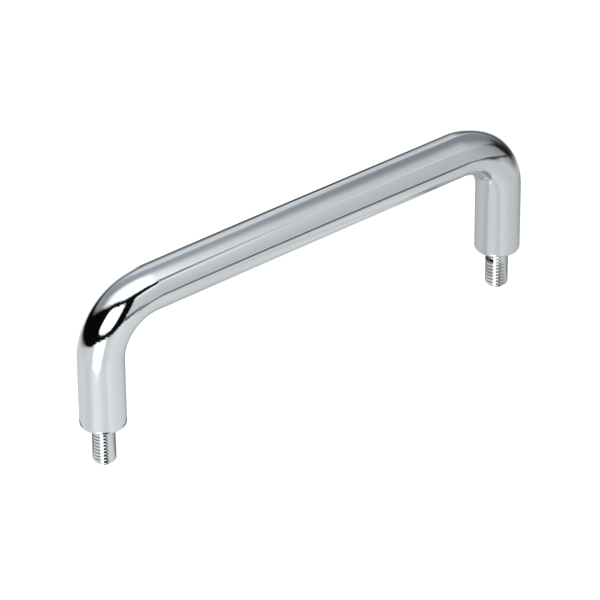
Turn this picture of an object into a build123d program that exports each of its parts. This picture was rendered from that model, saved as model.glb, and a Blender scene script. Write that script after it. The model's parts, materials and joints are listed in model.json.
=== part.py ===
from build123d import *
import os

# Bridge pull handle: one round steel bar bent to a U, with its two ends
# turned down to threaded studs that go through the panel it is fixed to.
# Millimetres. The origin lies midway between the studs on the mounting
# plane, where both feet seat. +X runs along the bar and +Z away from the panel.

# Bar
bar_diameter = 12.0
hole_spacing = 128.0         # between the centres of the two studs
height = 40.0                # from the mounting plane to the top of the bar
bend_radius = 15.0           # of the bar's centreline, at both corners
foot_edge = 0.4              # radius on the rim of each foot

# Studs, at the thread's outer diameter
stud_diameter = 6.0
stud_length = 12.0
stud_chamfer = 1.0           # 45 degrees, at the tip

bar_radius = bar_diameter / 2
stud_radius = stud_diameter / 2
half_spacing = hole_spacing / 2
centre_height = height - bar_radius


def bent_bar():
    """The full-diameter bar, swept round the U from one foot to the other."""
    corners = [
        (-half_spacing, 0, 0),
        (-half_spacing, 0, centre_height),
        (half_spacing, 0, centre_height),
        (half_spacing, 0, 0),
    ]
    centreline = FilletPolyline(*corners, radius=bend_radius)
    section = Plane(origin=centreline @ 0, z_dir=centreline % 0) * Circle(bar_radius)
    bar = sweep(section, path=centreline)
    rims = bar.edges().filter_by_position(Axis.Z, -0.01, 0.01)
    return fillet(rims, min(foot_edge, (bar_radius - stud_radius) / 2))


def stud(x):
    """One turned stud, from its foot at the mounting plane down to its tip."""
    shank = Pos(x, 0, -stud_length / 2) * Cylinder(stud_radius, stud_length)
    tip = shank.edges().sort_by(Axis.Z)[0]
    return chamfer(tip, stud_chamfer)


handle = bent_bar() + stud(-half_spacing) + stud(half_spacing)
handle.label = "handle"

os.makedirs("parts", exist_ok=True)
export_step(handle, "parts/handle.step")

outside = handle.bounding_box()
print("handle volume", round(handle.volume, 1), "mm3")
print("handle size", [round(side, 2) for side in outside.size])
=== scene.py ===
import bpy
import json
from math import atan2, cos, hypot, pi, radians, sin
from mathutils import Matrix, Vector


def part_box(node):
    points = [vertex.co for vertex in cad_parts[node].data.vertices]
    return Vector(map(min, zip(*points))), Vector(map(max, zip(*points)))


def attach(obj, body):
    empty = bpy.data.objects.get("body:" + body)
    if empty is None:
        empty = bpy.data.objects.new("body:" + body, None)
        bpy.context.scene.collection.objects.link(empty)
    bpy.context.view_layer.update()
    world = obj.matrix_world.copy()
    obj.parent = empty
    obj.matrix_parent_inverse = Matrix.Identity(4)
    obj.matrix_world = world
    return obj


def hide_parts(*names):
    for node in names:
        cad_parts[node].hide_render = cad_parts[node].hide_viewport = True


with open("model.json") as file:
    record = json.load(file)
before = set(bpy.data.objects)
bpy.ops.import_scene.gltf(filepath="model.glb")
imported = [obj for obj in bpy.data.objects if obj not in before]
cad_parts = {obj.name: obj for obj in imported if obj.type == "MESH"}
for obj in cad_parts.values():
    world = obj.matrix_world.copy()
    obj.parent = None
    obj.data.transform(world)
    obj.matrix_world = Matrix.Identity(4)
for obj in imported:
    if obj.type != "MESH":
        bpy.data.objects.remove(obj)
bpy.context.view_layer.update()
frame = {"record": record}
millimetre = 0.001
weld = 2 * millimetre / 1000                  # points nearer than this are one

# The handle's own sizes, read from the frame
lowCorner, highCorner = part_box("handle")
mountSizes = {mount["name"]: mount["dims"] for mount in frame["record"]["mounts"]}
halfSpacing = mountSizes["studs"]["spacing_x_mm"] * millimetre / 2
studRadius = mountSizes["studs"]["stud_r_mm"] * millimetre
barRadius = highCorner.y
barHeight = highCorner.z - barRadius          # of the bar's centreline
studTip = lowCorner.z

bar = {
    "sides": 128,
    "bendRadius": 15 * millimetre,            # of the centreline
    "bendSteps": 64,
    "footEdge": 0.4 * millimetre,
    "footEdgeSteps": 4,
    "guard": 0.5 * millimetre,                # short rings that keep the shading of the straights true
    "smoothUnder": 40,                        # degrees between two faces
}
bendStart = barHeight - bar["bendRadius"]     # where the legs end and the bends begin
bendX = halfSpacing - bar["bendRadius"]
bendLength = bar["bendRadius"] * pi / 2       # along the centreline


def deselectAll():
    if bpy.context.mode != "OBJECT":
        bpy.ops.object.mode_set(mode="OBJECT")
    bpy.ops.object.select_all(action="DESELECT")


def activate(piece):
    deselectAll()
    piece.select_set(True)
    bpy.context.view_layer.objects.active = piece


def editAll():
    bpy.ops.object.mode_set(mode="EDIT")
    bpy.ops.mesh.select_all(action="SELECT")


def leaveEdit():
    bpy.ops.object.mode_set(mode="OBJECT")


def applyPlace():
    bpy.ops.object.transform_apply(location=True, rotation=True, scale=True)


def extrudeBy(x, y, z):
    bpy.ops.mesh.extrude_region_move(TRANSFORM_OT_translate={"value": (x, y, z)})


def closeUp(piece):
    # caps the open ends and turns all faces outwards
    activate(piece)
    editAll()
    bpy.ops.mesh.fill_holes(sides=0)
    bpy.ops.mesh.select_all(action="SELECT")
    bpy.ops.mesh.normals_make_consistent(inside=False)
    leaveEdit()


def combine(piece, other, operation):
    # Boolean with the other piece, which is used up
    activate(piece)
    join = piece.modifiers.new("combine", "BOOLEAN")
    join.operation = operation
    join.solver = "EXACT"
    join.object = other
    bpy.ops.object.modifier_apply(modifier=join.name)
    bpy.data.objects.remove(other)
    # the near doubles that it leaves are merged
    editAll()
    bpy.ops.mesh.remove_doubles(threshold=weld)
    bpy.ops.mesh.dissolve_degenerate(threshold=weld)
    leaveEdit()


def addRound(name, radius, sides, x, z):
    # a disc to be extruded, with its place applied; leaves it in edit mode, all selected
    deselectAll()
    bpy.ops.mesh.primitive_circle_add(
        vertices=sides, radius=radius, location=(x, 0, z), fill_type="NGON"
    )
    piece = bpy.context.object
    piece.name = name
    applyPlace()
    editAll()
    return piece


def bendCorner(side):
    bpy.ops.mesh.spin(
        steps=bar["bendSteps"],
        angle=pi / 2,
        center=(side * bendX, 0, bendStart),
        axis=(0, -1, 0),
    )


def selectFootRims(piece):
    bpy.ops.object.mode_set(mode="EDIT")
    bpy.ops.mesh.select_mode(type="EDGE")
    bpy.ops.mesh.select_all(action="DESELECT")
    leaveEdit()
    points = piece.data.vertices
    for edge in piece.data.edges:
        edge.select = all(abs(points[i].co.z) < weld for i in edge.vertices)
    bpy.ops.object.mode_set(mode="EDIT")


def makeBar():
    piece = addRound("pullHandle", barRadius, bar["sides"], -halfSpacing, 0)
    bpy.ops.mesh.delete(type="ONLY_FACE")
    bpy.ops.mesh.select_all(action="SELECT")
    guard = bar["guard"]
    for climb in (2 * guard, bendStart - 3 * guard, guard):
        extrudeBy(0, 0, climb)
    bendCorner(-1)
    for run in (guard, 2 * bendX - 2 * guard, guard):
        extrudeBy(run, 0, 0)
    bendCorner(1)
    for drop in (guard, bendStart - 3 * guard, 2 * guard):
        extrudeBy(0, 0, -drop)
    bpy.ops.mesh.select_all(action="SELECT")
    bpy.ops.mesh.remove_doubles(threshold=weld)
    leaveEdit()
    closeUp(piece)
    selectFootRims(piece)
    bpy.ops.mesh.bevel(
        offset=bar["footEdge"], segments=bar["footEdgeSteps"], profile=0.5, affect="EDGES"
    )
    leaveEdit()
    return piece


stud = {
    "sides": 96,
    "pitch": 1.0 * millimetre,
    "threadDepth": 0.12 * millimetre,
    "crestTrim": 0.20 * millimetre,           # of the wave, which leaves the crests flat
    "toothSteps": 16,
    "turnsPastTip": 2,                        # cut off again with the blank
    "turnsIntoBar": 3,
    "collar": 1.2 * millimetre,               # plain length under the foot
    "collarProud": 0.01 * millimetre,         # of the crests
    "tipChamfer": 1.0 * millimetre,
    "blankProud": 0.3 * millimetre,           # of the thread
    "sunkIntoBar": 0.5 * millimetre,          # overlap that the union takes up
}


def makeBlank(x):
    # the length of the stud with its cone at the tip, a little wider than the thread
    tipRadius = studRadius - stud["tipChamfer"]
    cone = stud["tipChamfer"] + stud["blankProud"]
    piece = addRound("blank", tipRadius, stud["sides"], x, studTip)
    extrudeBy(0, 0, cone)
    widening = (tipRadius + cone) / tipRadius
    bpy.ops.transform.resize(value=(widening, widening, 1))
    extrudeBy(0, 0, -studTip - cone + stud["sunkIntoBar"])
    leaveEdit()
    closeUp(piece)
    return piece


def makeCollar(x):
    radius = studRadius + stud["collarProud"]
    piece = addRound("collar", radius, stud["sides"], x, -stud["collar"])
    extrudeBy(0, 0, stud["collar"] + 2 * stud["sunkIntoBar"])
    leaveEdit()
    closeUp(piece)
    return piece


def threadRadius(row):
    # a wave with its crests cut flat at the stud's radius
    swing = (stud["threadDepth"] + stud["crestTrim"]) / 2
    wave = studRadius + stud["crestTrim"] - swing + swing * cos(2 * pi * row / stud["toothSteps"])
    return min(wave, studRadius)


def makeThread(x):
    # its outline drawn upwards from one point, then screwed round
    step = stud["pitch"] / stud["toothSteps"]
    bottom = studTip - stud["turnsPastTip"] * stud["pitch"]
    top = stud["turnsIntoBar"] * stud["pitch"]
    deselectAll()
    bpy.ops.mesh.primitive_plane_add(size=millimetre)
    piece = bpy.context.object
    piece.name = "thread"
    bpy.ops.object.mode_set(mode="EDIT")
    bpy.ops.mesh.select_mode(type="VERT")
    bpy.ops.mesh.select_all(action="SELECT")
    bpy.ops.mesh.merge(type="CENTER")
    bpy.ops.transform.translate(value=(threadRadius(0), 0, bottom))
    for row in range(round((top - bottom) / step)):
        outwards = threadRadius(row + 1) - threadRadius(row)
        bpy.ops.mesh.extrude_vertices_move(TRANSFORM_OT_translate={"value": (outwards, 0, step)})
    leaveEdit()
    activate(piece)
    screw = piece.modifiers.new("screw", "SCREW")
    screw.axis = "Z"
    screw.angle = 2 * pi
    screw.screw_offset = stud["pitch"]
    screw.steps = stud["sides"]
    screw.render_steps = stud["sides"]
    screw.use_merge_vertices = True
    screw.merge_threshold = weld
    bpy.ops.object.modifier_apply(modifier=screw.name)
    piece.location.x = x
    applyPlace()
    editAll()
    bpy.ops.mesh.remove_doubles(threshold=weld)
    leaveEdit()
    closeUp(piece)
    return piece


def makeStud(x):
    piece = makeThread(x)
    combine(piece, makeBlank(x), "INTERSECT")
    combine(piece, makeCollar(x), "UNION")
    piece.name = "stud"
    return piece


def copyAcross(piece, distance):
    copy = piece.copy()
    copy.data = piece.data.copy()
    bpy.context.collection.objects.link(copy)
    copy.data.transform(Matrix.Translation((distance, 0, 0)))
    return copy


def rodPlace(point):
    # where a point lay on the straight rod before bending: the distance along it from the
    # nearer foot, then the two directions across it
    if point.z < bendStart:
        along, across = point.z, abs(point.x) - halfSpacing
    elif abs(point.x) < bendX:
        along, across = bendStart + bendLength + bendX - abs(point.x), point.z - barHeight
    else:
        outX, outZ = abs(point.x) - bendX, point.z - bendStart
        along = bendStart + bar["bendRadius"] * atan2(outZ, outX)
        across = hypot(outX, outZ) - bar["bendRadius"]
    return Vector((along, point.y, across))


def markRod(piece):
    places = piece.data.attributes.new("rod", "FLOAT_VECTOR", "POINT")
    for vertex in piece.data.vertices:
        places.data[vertex.index].vector = rodPlace(vertex.co)


def feed(tree, socket, value):
    if isinstance(value, bpy.types.NodeSocket):
        tree.links.new(value, socket)
    elif value is not None:
        socket.default_value = value


def addNode(tree, kind, inputs=(), **settings):
    made = tree.nodes.new(kind)
    for name, value in settings.items():
        setattr(made, name, value)
    for socket, value in zip(made.inputs, inputs):
        feed(tree, socket, value)
    return made


def newMaterial(name):
    material = bpy.data.materials.new(name)
    material.use_nodes = True
    material.node_tree.nodes.clear()
    return material


def calc(tree, operation, *inputs):
    return addNode(tree, "ShaderNodeMath", inputs, operation=operation).outputs[0]


def times(tree, first, *others):
    for other in others:
        first = calc(tree, "MULTIPLY", first, other)
    return first


def mapped(tree, value, start, end, low, high):
    # low at start and high at end, along a straight line
    return addNode(tree, "ShaderNodeMapRange", (value, start, end, low, high)).outputs[0]


def rise(tree, value, start, end):
    # 0 at start and 1 at end, smoothly; start may be the higher of the two
    ramp = addNode(
        tree, "ShaderNodeMapRange", (value, start, end, 0, 1), interpolation_type="SMOOTHSTEP"
    )
    return ramp.outputs[0]


def between(tree, value, start, full, fullEnd, end):
    return times(tree, rise(tree, value, start, full), rise(tree, value, end, fullEnd))


def drawnLine(tree, value, points):
    # a smooth line through the points, read at value; a plain number stays as it is
    if not isinstance(points, list):
        return points
    first, last = points[0][0], points[-1][0]
    heights = [height for _, height in points]
    low, high = min(heights), max(heights)
    line = addNode(tree, "ShaderNodeFloatCurve", (1, mapped(tree, value, first, last, 0, 1)))
    curve = line.mapping.curves[0]
    places = [((at - first) / (last - first), (height - low) / (high - low)) for at, height in points]
    curve.points[0].location = places[0]
    curve.points[1].location = places[-1]
    for place in places[1:-1]:
        curve.points.new(*place)
    for point in curve.points:
        point.handle_type = "AUTO_CLAMPED"
    line.mapping.update()
    return mapped(tree, line.outputs[0], 0, 1, low, high)


def tinted(tree, light, tint):
    # a colour of the given light, which may be a number or a socket
    colour = addNode(tree, "ShaderNodeVectorMath", (tint,), operation="SCALE")
    feed(tree, colour.inputs["Scale"], light)
    return colour.outputs[0]


def mixColours(tree, mask, under, over):
    both = addNode(tree, "ShaderNodeMix", data_type="RGBA")
    feed(tree, both.inputs[0], mask)
    feed(tree, both.inputs[6], under)
    feed(tree, both.inputs[7], over)
    return both.outputs[2]


def paint(tree, under, mask, light, tint=(1, 1, 1)):
    return mixColours(tree, mask, under, tinted(tree, light, tint))


def oval(tree, across, up, shape):
    # a rounded patch: power 2 is an ellipse and more is squarer
    x = calc(tree, "WRAP", calc(tree, "SUBTRACT", across, shape["centre"][0]), 180, -180)
    y = calc(tree, "SUBTRACT", up, shape["centre"][1])
    turnCos, turnSin = cos(radians(shape["turn"])), sin(radians(shape["turn"]))
    turned = (
        calc(tree, "ADD", times(tree, x, turnCos), times(tree, y, turnSin)),
        calc(tree, "SUBTRACT", times(tree, y, turnCos), times(tree, x, turnSin)),
    )
    parts = []
    for value, half in zip(turned, shape["half"]):
        share = calc(tree, "ABSOLUTE", calc(tree, "DIVIDE", value, half))
        parts.append(calc(tree, "POWER", share, shape["power"]))
    size = calc(tree, "POWER", calc(tree, "ADD", *parts), 1 / shape["power"])
    return rise(tree, size, 1 + shape["soft"], 1 - shape["soft"])


def noise(tree, places, scale, detail):
    made = addNode(tree, "ShaderNodeTexNoise")
    feed(tree, made.inputs["Vector"], places)
    made.inputs["Scale"].default_value = scale
    made.inputs["Detail"].default_value = detail
    return made.outputs[0]


def placesRound(tree, places, centre, size):
    # the places as seen from a centre, measured in the given size
    moved = addNode(tree, "ShaderNodeMapping", vector_type="TEXTURE")
    feed(tree, moved.inputs["Vector"], places)
    moved.inputs["Location"].default_value = centre
    moved.inputs["Scale"].default_value = size
    return moved.outputs[0]


plating = {
    "colour": (0.600, 0.615, 0.630),
    "roughness": (0.03, 0.07),                # cleanest and haziest
    "hazeScale": 60,                          # patches to a metre
    "hazeRange": (0.35, 0.7),                 # of the noise, from cleanest to haziest
    "rippleLength": 0.45 * millimetre,        # along the rod
    "rippleWidth": 1.2 * millimetre,          # round the rod
    "rippleHeight": 0.008 * millimetre,       # in the bends
    "straightRipple": 0.10,                   # share of it left in the straight parts
    "rippleFade": 3 * millimetre,             # to each side of where a bend begins
    "grainSize": 0.35 * millimetre,
    "grainRange": (0.3, 0.6),                 # of the noise, from darkest to lightest
    "grain": (0.98, 1.01),                    # of the colour, at its darkest and lightest
    "rust": (0.16, 0.10, 0.06, 1),
    "rustPlace": (halfSpacing - 2.8 * millimetre, 0.3 * millimetre, -3.05 * millimetre),
    "rustSize": (1.4 * millimetre, 1.6 * millimetre, 1.0 * millimetre),
    # a near-black spot at the root of the right stud
    "darkSpot": (0.01, 0.008, 0.008, 1),
    "darkSpotPlace": (halfSpacing - 2.7 * millimetre, -1.2 * millimetre, -3.3 * millimetre),
    "darkSpotSize": (0.6 * millimetre, 0.6 * millimetre, 0.55 * millimetre),
    "spotCrumbs": 2.5,                        # scale of the crumbs at a spot's edge
    "spotEdge": (1.6, 1.2),                   # where a spot begins and is full
    "spotRoughness": 0.55,
}


def spot(tree, places, place, size):
    # a ragged spot on the surface round one place
    centred = placesRound(tree, places, place, size)
    distance = addNode(tree, "ShaderNodeVectorMath", (centred,), operation="LENGTH").outputs["Value"]
    crumbs = noise(tree, centred, plating["spotCrumbs"], 2)
    return rise(tree, calc(tree, "ADD", distance, crumbs), *plating["spotEdge"])


def ripples(tree):
    # fine ripples, strongest where the rod was bent
    rod = addNode(tree, "ShaderNodeAttribute", attribute_name="rod").outputs["Vector"]
    along = addNode(tree, "ShaderNodeSeparateXYZ", (rod,)).outputs[0]
    fade = plating["rippleFade"]
    bendEnd = bendStart + bendLength
    bent = between(tree, along, bendStart - fade, bendStart + fade, bendEnd - fade, bendEnd + fade)
    share = calc(tree, "MAXIMUM", bent, plating["straightRipple"])
    size = (plating["rippleLength"], plating["rippleWidth"], plating["rippleWidth"])
    waves = noise(tree, placesRound(tree, rod, (0, 0, 0), size), 1, 1)
    relief = addNode(tree, "ShaderNodeBump")
    relief.inputs["Strength"].default_value = 1
    relief.inputs["Distance"].default_value = plating["rippleHeight"]
    feed(tree, relief.inputs["Height"], times(tree, waves, share))
    return relief.outputs[0]


def makePlating():
    material = newMaterial("brightPlating")
    tree = material.node_tree
    output = addNode(tree, "ShaderNodeOutputMaterial")
    metal = addNode(tree, "ShaderNodeBsdfPrincipled")
    metal.inputs["Metallic"].default_value = 1
    tree.links.new(metal.outputs[0], output.inputs["Surface"])
    tree.links.new(ripples(tree), metal.inputs["Normal"])
    places = addNode(tree, "ShaderNodeTexCoord").outputs["Object"]

    # haze left by polishing, and a faint grain
    haze = noise(tree, places, plating["hazeScale"], 3)
    hazy = mapped(tree, haze, *plating["hazeRange"], *plating["roughness"])
    grain = noise(tree, places, 1 / plating["grainSize"], 2)
    grainy = mapped(tree, grain, *plating["grainRange"], *plating["grain"])

    # rust and a near-black spot at the root of the right stud
    rusty = spot(tree, places, plating["rustPlace"], plating["rustSize"])
    darkSpotted = spot(tree, places, plating["darkSpotPlace"], plating["darkSpotSize"])
    colour = mixColours(tree, rusty, tinted(tree, grainy, plating["colour"]), plating["rust"])
    colour = mixColours(tree, darkSpotted, colour, plating["darkSpot"])
    tree.links.new(colour, metal.inputs["Base Color"])
    dull = times(tree, calc(tree, "MAXIMUM", rusty, darkSpotted), plating["spotRoughness"])
    tree.links.new(calc(tree, "MAXIMUM", hazy, dull), metal.inputs["Roughness"])
    return material


# The studio round the handle, as the bright plating reflects it: layers of light painted one
# over another. Heights of lines are angles round the bar, from the front (-Y, 0) over the top
# (90) to the back (180), and the first number of each pair is the angle away from the +X end.
# A layer with a "half" is a strip to both sides of its line, and the others fill the side of it
# that they name, "lift" past it. "within" gives where a layer begins, is full, begins to fade
# and ends.
blueCloth = (0.93, 0.99, 1.08)
coolWhite = (0.97, 1.0, 1.01)
white = (1, 1, 1)
gapBehind = [
    (20, 200), (24, 190), (28, 177), (32, 168), (36, 163), (42, 162), (50, 168), (57.3, 180), (58.9, 182),
    (60.3, 188), (61.2, 184), (64, 172), (70, 165), (76, 168), (84, 178), (96, 184),
]
tableEdge = [
    (14, -42), (16, -38), (20, -31), (24, -25.5), (30, -22), (38, -21), (44, -23.5), (51, -28.5),
    (56, -32.5), (57.3, -29), (58, -24.5), (59.2, -21), (60.5, -20), (61.2, -22.5), (63, -26), (68, -19),
    (72, -14), (76, -10.5), (80, -8), (84, -5), (88, -2.5), (91, -1),
]
studioLayers = {
    "overheadLight": {
        "tint": coolWhite, "side": "below",
        "line": [
            (20, 66), (50, 73), (56.5, 83), (59, 90), (61, 95), (70, 97), (80, 101), (90, 106),
            (112, 123),
        ],
        "soft": [
            (20, 26), (56, 22), (59, 21), (61, 20), (70, 13), (80, 11), (90, 13), (100, 14), (112, 23),
        ],
        "light": [
            (8, 0.03), (12, 0.12), (20, 0.42), (30, 0.55), (40, 0.62), (50, 0.72), (57, 0.83),
            (59.2, 0.92), (60.3, 1.03), (60.8, 1.07), (61.1, 1.3), (61.4, 1.42), (64, 1.52), (68, 1.8),
        ],
    },
    "wall": {
        "tint": coolWhite, "side": "below", "line": 46, "soft": 4,
        "light": [
            (8, 0.015), (12, 0.05), (16, 0.16), (20, 0.4), (30, 0.5), (40, 0.59), (50, 0.69), (57, 0.75),
            (58.1, 0.83), (59.2, 0.89), (61.2, 0.98), (70, 1.0), (88, 1.0),
        ],
    },
    "wallFoot": {
        "tint": coolWhite, "side": "below", "line": 18, "soft": 24,
        "light": [
            (8, 0.015), (12, 0.05), (16, 0.16), (20, 0.4), (30, 0.5), (40, 0.59), (50, 0.69), (57, 0.73),
            (59.2, 0.78), (61.2, 0.8), (88, 0.86),
        ],
    },
    "wallRim": {
        "tint": coolWhite, "half": 3.5, "soft": 2,
        "line": [
            (12, 36), (30, 40), (50, 42), (56, 44), (57.2, 48), (58.2, 51), (59.2, 51), (60, 45),
            (61, 43), (62, 38), (64, 34), (90, 32),
        ],
        "light": [
            (12, 0.1), (20, 0.3), (30, 0.6), (50, 0.84), (57, 0.95), (58.5, 1.02), (59.2, 0.98),
            (60, 1.08), (61, 1.38), (64, 1.42), (84, 1.46), (90, 1.2),
        ],
    },
    "stripAtTheBack": {
        "tint": coolWhite,
        "line": [
            (40, 142), (50, 140), (56, 143), (57.3, 145), (58.2, 149), (59.2, 151), (60.2, 146),
            (61, 146), (64, 145), (72, 144), (88, 148),
        ],
        "half": [(20, 6), (50, 8), (57, 13), (58.2, 12), (59.2, 15), (61, 12.5), (72, 12), (88, 8)],
        "soft": [(20, 6), (56, 8), (57.5, 10), (61, 10), (64, 7), (88, 6)],
        "light": [
            (20, 0.27), (32, 0.44), (40, 0.52), (48, 0.68), (56, 0.9), (57.3, 1.17), (58.2, 1.18),
            (59.2, 1.15), (61, 1.18), (64, 1.1), (72, 0.98), (80, 0.8), (88, 0.58), (96, 0.45),
        ],
    },
    "whiteBehind": {
        "tint": white, "side": "above", "line": gapBehind, "lift": 4, "soft": 6,
        "light": [
            (20, 0.04), (24, 0.1), (28, 0.2), (32, 0.45), (36, 0.8), (44, 1.3), (50, 1.5), (57, 1.4),
            (61, 1.2), (68, 1.35), (72, 1.1), (80, 1.0), (130, 0.9),
        ],
    },
    "darkGap": {
        "tint": white, "soft": 7, "line": gapBehind,
        "half": [
            (24, 14), (32, 10), (44, 9), (56, 8), (57.5, 9), (58.2, 11), (59.2, 13), (61, 14), (68, 10),
            (88, 13),
        ],
        "light": [
            (24, 0.08), (32, 0.12), (44, 0.2), (56, 0.2), (59.2, 0.08), (61, 0.18), (68, 0.3), (76, 0.28),
            (84, 0.18), (90, 0.06),
        ],
    },
    "table": {
        "tint": coolWhite, "side": "below", "line": tableEdge, "soft": 2,
        "light": [
            (9, 0.01), (13, 0.05), (16, 0.18), (20, 0.38), (24, 0.46), (28, 0.54), (36, 0.66), (44, 0.74),
            (57, 0.83), (59.2, 0.92), (61.5, 1.03), (72, 1.1), (90, 1.14), (104, 1.02), (114, 1.0),
        ],
    },
    "tableEdge": {
        "tint": white, "soft": 1.8, "line": tableEdge, "within": (12, 18, 89, 92),
        "half": [
            (14, 9), (24, 3.8), (34, 2.8), (44, 3.4), (50, 5), (57, 5.5), (58.5, 4.4), (61, 4.2),
            (66, 3.4), (90, 2.5),
        ],
        "light": [
            (14, 0.04), (24, 0.1), (42, 0.1), (50, 0.03), (57.2, 0.04), (58, 0.12), (60, 0.16),
            (61, 0.16), (66, 0.25), (74, 0.2), (90, 0.02),
        ],
    },
    "hem": {
        "tint": coolWhite, "half": 3, "soft": 3, "within": (59.6, 60.2, 61.6, 63), "line": 62,
        "light": [(59.5, 1.1), (60.2, 1.15), (60.8, 1.32), (61.2, 1.6)],
    },
    "drapeTail": {
        "tint": white, "soft": 2, "within": (59, 59.6, 93, 95),
        "line": [
            (59.2, 57), (60.3, 55.5), (61, 53), (61.3, 49), (62, 46.5), (64, 44.5), (68, 43.5), (76, 43),
            (84, 42.5), (92, 44),
        ],
        "half": [(59.2, 2.4), (60.9, 3.6), (61.2, 4.2), (62, 5), (66, 5.6), (72, 6), (80, 7), (92, 8)],
        "light": [
            (59, 0.95), (59.6, 0.85), (60.3, 0.52), (60.8, 0.22), (61.1, 0.08), (61.5, 0.04),
            (62.5, 0.01),
        ],
    },
}
# The rest of the studio. Places are in degrees of azimuth (0 to the front, 90 towards +X) and
# elevation, apart from the cloth, which is drawn over the angle away from the +X end.
studio = {
    "seam": -140,                             # where the angles round the bar begin
    "cloth": [
        (8, 0.05), (14, 0.17), (20, 0.3), (30, 0.35), (56, 0.37), (59, 0.45), (62, 0.54), (88, 0.53),
        (105, 0.45), (125, 0.3),
    ],
    "blackDrape": {
        "top": [
            (-180, 4), (-165, 8), (-150, 16), (-130, 34), (-110, 48), (-90, 55), (-60, 59.5), (-30, 55.5),
            (-10, 53), (0, 51),
        ],
        "bottom": [
            (-180, -12), (-150, -9), (-110, -6.5), (-90, -3.5), (-75, 1), (-55, 3), (-35, 1), (-20, -2),
            (0, -5),
        ],
        "topSoft": (6, 3),                    # before and after this stretch of its top edge
        "softTurn": (-100, -80),
        "bottomSoft": 2,
        "rightEnd": (0.5, -1.5),              # where it begins and is full
        "light": 0.004,
    },
    "softbox": {
        "centre": (-48.5, 29.5), "half": (28, 18.5), "turn": -6, "power": 4, "soft": 0.12, "light": 2.2,
    },
    "whiteCard": {
        "centre": (-54, -22), "half": (21.5, 26), "turn": 0, "power": 6, "soft": 0.12, "light": 2.0,
        "top": (4.5, 1),                      # where it begins and is full, going down
    },
    "straightDown": {"within": (-80, -86), "light": 0.62},
    "patches": {
        "rightCorner": {
            "centre": (92, -3), "half": (30, 4.5), "turn": -42, "power": 2, "soft": 0.6, "light": 0.03,
        },
        "cornerTail": {
            "centre": (123, 9), "half": (26, 5), "turn": 41, "power": 2, "soft": 0.7, "light": 0.14,
        },
        "glint": {
            "centre": (-68, -73.5), "half": (10, 3), "turn": 0, "power": 2, "soft": 0.5, "light": 1.5,
        },
    },
}


def layerMask(tree, layer, roundBar, endOn):
    # how much of a layer shows in each direction
    line = drawnLine(tree, endOn, layer["line"])
    away = calc(tree, "SUBTRACT", roundBar, line)
    if "lift" in layer:
        away = calc(tree, "SUBTRACT", away, layer["lift"])
    if "half" in layer:
        away = calc(tree, "SUBTRACT", calc(tree, "ABSOLUTE", away), drawnLine(tree, endOn, layer["half"]))
    elif layer["side"] == "above":
        away = times(tree, away, -1)
    soft = drawnLine(tree, endOn, layer["soft"])
    mask = rise(tree, calc(tree, "DIVIDE", away, soft), 1, -1)
    if "within" in layer:
        mask = times(tree, mask, between(tree, endOn, *layer["within"]))
    return mask


def drapeMask(tree, azimuth, elevation):
    drape = studio["blackDrape"]
    overTop = calc(tree, "SUBTRACT", elevation, drawnLine(tree, azimuth, drape["top"]))
    overBottom = calc(tree, "SUBTRACT", elevation, drawnLine(tree, azimuth, drape["bottom"]))
    soft = mapped(tree, azimuth, *drape["softTurn"], *drape["topSoft"])
    return times(
        tree,
        rise(tree, calc(tree, "DIVIDE", overTop, soft), 1, -1),
        rise(tree, overBottom, -drape["bottomSoft"], drape["bottomSoft"]),
        rise(tree, azimuth, *drape["rightEnd"]),
    )


def studioLight(tree):
    direction = addNode(tree, "ShaderNodeTexCoord").outputs["Generated"]
    x, y, z = addNode(tree, "ShaderNodeSeparateXYZ", (direction,)).outputs
    ahead = times(tree, y, -1)
    azimuth = calc(tree, "DEGREES", calc(tree, "ARCTAN2", x, ahead))
    elevation = calc(tree, "DEGREES", calc(tree, "ARCSINE", z))
    endOn = calc(tree, "DEGREES", calc(tree, "ARCCOSINE", x))
    roundBar = calc(tree, "DEGREES", calc(tree, "ARCTAN2", z, ahead))
    roundBar = calc(tree, "WRAP", roundBar, studio["seam"] + 360, studio["seam"])

    light = tinted(tree, drawnLine(tree, endOn, studio["cloth"]), blueCloth)
    for layer in studioLayers.values():
        mask = layerMask(tree, layer, roundBar, endOn)
        light = paint(tree, light, mask, drawnLine(tree, endOn, layer["light"]), layer["tint"])
    light = paint(tree, light, drapeMask(tree, azimuth, elevation), studio["blackDrape"]["light"])
    softbox, card, below = studio["softbox"], studio["whiteCard"], studio["straightDown"]
    light = paint(tree, light, oval(tree, azimuth, elevation, softbox), softbox["light"])
    mask = times(tree, oval(tree, azimuth, elevation, card), rise(tree, elevation, *card["top"]))
    light = paint(tree, light, mask, card["light"])
    light = paint(tree, light, rise(tree, elevation, *below["within"]), below["light"])
    for patch in studio["patches"].values():
        light = paint(tree, light, oval(tree, azimuth, elevation, patch), patch["light"])
    return light


def makeWorld():
    world = bpy.data.worlds.new("studio")
    bpy.context.scene.world = world
    world.use_nodes = True
    tree = world.node_tree
    tree.nodes.clear()
    # the camera itself sees plain white
    mirrored = addNode(tree, "ShaderNodeBackground", (studioLight(tree), 1))
    plain = addNode(tree, "ShaderNodeBackground", ((1, 1, 1, 1), 1))
    isCamera = addNode(tree, "ShaderNodeLightPath").outputs["Is Camera Ray"]
    both = addNode(tree, "ShaderNodeMixShader", (isCamera, mirrored.outputs[0], plain.outputs[0]))
    output = addNode(tree, "ShaderNodeOutputWorld")
    tree.links.new(both.outputs[0], output.inputs["Surface"])
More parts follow.
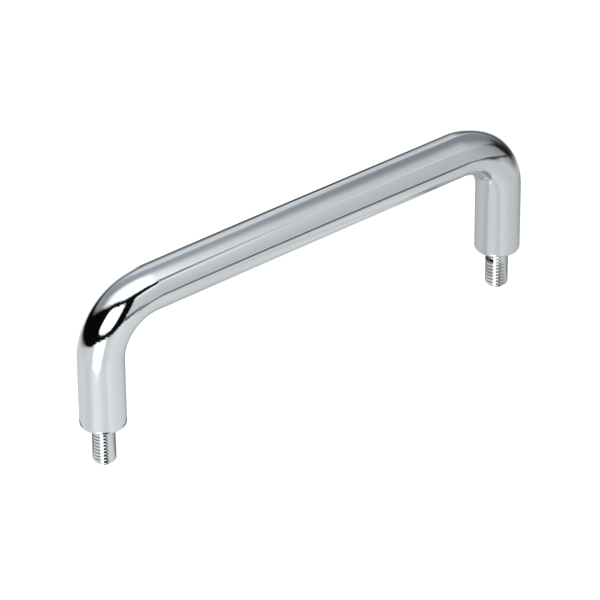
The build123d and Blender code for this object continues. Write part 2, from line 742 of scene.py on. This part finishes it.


# The table near the handle, as the plating reflects it, with painted light and painted shade on it.
# Places and distances are in millimetres on the table, and the light round each leg is drawn by
# direction: 0 to the front, 90 towards +X.
# A leg's "table" is the light round it, darker behind the leg as painted shade, and its "stud" the light
# within "studReach" of it, with painted shade behind the stud and in a narrow wedge in front of it.
floor = {
    "size": 12.0,                             # metres
    "light": 0.93,                            # its glow and its paint, as the camera sees them
    "paint": 0.25,
    "near": (150, 80),                        # half the size of the table that the plating sees
    "nearSoft": (30, 25),
    "clearReach": 22,                         # of the wedges where it is left out
    "wedgeSoft": 2,                           # degrees
    "far": (60, 90),                          # it turns plain between these distances
    "behind": (150, 110),                     # but not behind a leg, past these directions
    "meet": 12,                               # where the two sides blend, to each side of the middle
}
aroundLegs = {
    "left": {
        "side": -1, "farLight": 1.0, "studReach": 21, "clearWedge": (-73, -41),
        "table": [
            (-180, 0.82), (-150, 0.93), (-126, 1.0), (-104, 0.93), (-84, 1.03), (-64, 1.24), (-46, 1.18),
            (-20, 1.03), (-2, 1.18), (14, 1.1), (56, 0.98), (80, 0.85), (92, 0.7), (106, 0.5),
            (150, 0.48), (168, 0.66), (180, 0.82),
        ],
        "stud": [
            (-180, 0.12), (-154, 0.14), (-136, 0.9), (-100, 1.0), (-50, 1.0), (-37, 0.08), (-22, 0.1),
            (-10, 0.7), (20, 1.05), (50, 0.95), (66, 0.4), (82, 0.12), (180, 0.12),
        ],
    },
    "right": {
        "side": 1, "farLight": 0.9, "studReach": 15, "clearWedge": (-72, -44),
        "table": [
            (-180, 0.54), (-160, 0.69), (-114, 0.8), (-104, 0.72), (-88, 0.87), (-60, 1.0), (-34, 0.88),
            (-20, 1.02), (8, 0.92), (40, 0.83), (64, 0.75), (84, 0.58), (100, 0.47), (150, 0.45),
            (180, 0.54),
        ],
        "stud": [
            (-180, 0.35), (-158, 0.5), (-136, 0.85), (-100, 0.95), (-50, 0.95), (-40, 0.42), (0, 0.42),
            (28, 0.5), (42, 0.85), (56, 0.7), (72, 0.3), (86, 0.05), (156, 0.05), (180, 0.35),
        ],
    },
}
# painted patches on the table: a pool of light and the shadow of the bar
tablePatches = {
    # a painted pool of bright light on the table, in front of and left of the left leg
    "lightPool": {
        "centre": (-137, -51), "half": (40, 28), "turn": 35, "power": 2, "soft": 0.12, "light": 1.9,
        "tint": white,
    },
    # painted shadow of the bar: a darker strip on the table beneath it
    "barShadow": {
        "centre": (24, 4), "half": (50, 6), "turn": 0, "power": 4, "soft": 0.4, "light": 0.72,
        "tint": coolWhite,
    },
}
# painted shade: a darker patch on the table under the right bend, left out close to the right stud
bendShade = {
    "centre": (64, 8.5), "half": (17, 6), "turn": 48, "power": 2, "soft": 0.5, "light": 0.42,
    "tint": blueCloth, "offStud": (8, 10),
}


def roundLeg(tree, across, forth, side):
    # azimuth and distance of a place on the table, seen from one leg
    x = calc(tree, "SUBTRACT", across, side * halfSpacing / millimetre)
    azimuth = calc(tree, "DEGREES", calc(tree, "ARCTAN2", x, times(tree, forth, -1)))
    squares = calc(tree, "ADD", times(tree, x, x), times(tree, forth, forth))
    return azimuth, calc(tree, "SQRT", squares)


def tableBeside(tree, leg, azimuth, reach):
    # drawn light near the leg, and plain light far away, apart from behind the leg
    light = tinted(tree, drawnLine(tree, azimuth, leg["table"]), coolWhite)
    inFront = rise(tree, calc(tree, "ABSOLUTE", azimuth), *floor["behind"])
    far = times(tree, rise(tree, reach, *floor["far"]), inFront)
    return paint(tree, light, far, leg["farLight"], coolWhite)


def tableLight(tree, across, forth, fromLegs):
    left, right = [tableBeside(tree, aroundLegs[name], *fromLegs[name]) for name in ("left", "right")]
    light = mixColours(tree, rise(tree, across, -floor["meet"], floor["meet"]), left, right)
    for patch in tablePatches.values():
        light = paint(tree, light, oval(tree, across, forth, patch), patch["light"], patch["tint"])
    for name, (azimuth, reach) in fromLegs.items():
        leg = aroundLegs[name]
        nearStud = rise(tree, reach, leg["studReach"] + 1, leg["studReach"] - 1)
        # painted light and painted shade on the table close to each stud
        light = paint(tree, light, nearStud, drawnLine(tree, azimuth, leg["stud"]))
    # painted shade on the table under the right bend
    offStud = rise(tree, fromLegs["right"][1], *bendShade["offStud"])
    shade = times(tree, oval(tree, across, forth, bendShade), offStud)
    return paint(tree, light, shade, bendShade["light"], bendShade["tint"])


def tableMask(tree, across, forth, fromLegs):
    # the table is drawn near the handle, apart from a wedge in front of each stud
    shares = []
    for value, half, soft in zip((across, forth), floor["near"], floor["nearSoft"]):
        shares.append(rise(tree, calc(tree, "ABSOLUTE", value), half + soft, half - soft))
    for name, (azimuth, reach) in fromLegs.items():
        start, end = aroundLegs[name]["clearWedge"]
        soft = floor["wedgeSoft"]
        inside = between(tree, azimuth, start - soft, start, end, end + soft)
        wedge = times(tree, inside, rise(tree, reach, floor["clearReach"] + 1, floor["clearReach"]))
        shares.append(calc(tree, "SUBTRACT", 1, wedge))
    return times(tree, *shares)


def makeTableTop():
    material = newMaterial("paleTable")
    tree = material.node_tree
    places = addNode(tree, "ShaderNodeTexCoord").outputs["Object"]
    scaled = addNode(tree, "ShaderNodeVectorMath", (places,), operation="SCALE")
    scaled.inputs["Scale"].default_value = 1 / millimetre
    across, forth, _ = addNode(tree, "ShaderNodeSeparateXYZ", (scaled.outputs[0],)).outputs
    fromLegs = {name: roundLeg(tree, across, forth, leg["side"]) for name, leg in aroundLegs.items()}

    # mirrored, it is the drawn table with its painted light and painted shade; past it and in the wedges
    # the studio shows through
    mirrored = addNode(tree, "ShaderNodeEmission", (tableLight(tree, across, forth, fromLegs), 1))
    clear = addNode(tree, "ShaderNodeBsdfTransparent")
    drawn = tableMask(tree, across, forth, fromLegs)
    reflected = addNode(tree, "ShaderNodeMixShader", (drawn, clear.outputs[0], mirrored.outputs[0]))
    # the camera itself sees it plain and pale
    glow = addNode(tree, "ShaderNodeEmission", ((1, 1, 1, 1), floor["light"]))
    matt = addNode(tree, "ShaderNodeBsdfDiffuse", ((floor["paint"],) * 3 + (1,),))
    pale = addNode(tree, "ShaderNodeAddShader", (glow.outputs[0], matt.outputs[0]))
    isCamera = addNode(tree, "ShaderNodeLightPath").outputs["Is Camera Ray"]
    both = addNode(tree, "ShaderNodeMixShader", (isCamera, reflected.outputs[0], pale.outputs[0]))
    output = addNode(tree, "ShaderNodeOutputMaterial")
    tree.links.new(both.outputs[0], output.inputs["Surface"])
    return material


def makeFloor():
    deselectAll()
    bpy.ops.mesh.primitive_plane_add(size=floor["size"], location=(0, 0, studTip))
    piece = bpy.context.object
    piece.name = "floor"
    applyPlace()
    piece.data.materials.append(makeTableTop())


camera = {
    "azimuth": -37.54,                        # degrees, 0 looks along +Y
    "elevation": 34.28,
    "roll": -0.47,
    "distance": 1.1766,                       # metres, from the place that it looks at
    "aim": (-0.00166, 0, 0.0103),
    "lens": 276.3,
    "sensor": 36,
    "clipEnd": 100,                           # metres
}


def makeCamera():
    lens = bpy.data.cameras.new("camera")
    lens.sensor_width = camera["sensor"]
    lens.lens = camera["lens"]
    lens.clip_end = camera["clipEnd"]
    piece = bpy.data.objects.new("camera", lens)
    bpy.context.collection.objects.link(piece)
    turned = Matrix.Rotation(radians(camera["azimuth"]), 4, "Z")
    tilted = Matrix.Rotation(radians(90 - camera["elevation"]), 4, "X")
    rolled = Matrix.Rotation(radians(camera["roll"]), 4, "Z")
    back = Matrix.Translation((0, 0, camera["distance"]))
    piece.matrix_world = Matrix.Translation(camera["aim"]) @ turned @ tilted @ back @ rolled
    bpy.context.scene.camera = piece


print("bending the bar")
handle = makeBar()
print("threading the studs")
leftStud = makeStud(-halfSpacing)
rightStud = copyAcross(leftStud, 2 * halfSpacing)
combine(handle, leftStud, "UNION")
combine(handle, rightStud, "UNION")
activate(handle)
bpy.ops.object.shade_smooth_by_angle(angle=radians(bar["smoothUnder"]))
markRod(handle)
print("plating it:", len(handle.data.polygons), "faces")
handle.data.materials.clear()
handle.data.materials.append(makePlating())
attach(handle, "root")
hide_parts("handle")

print("setting up the studio")
makeFloor()
makeWorld()
makeCamera()
bpy.context.scene.view_settings.view_transform = "Standard"
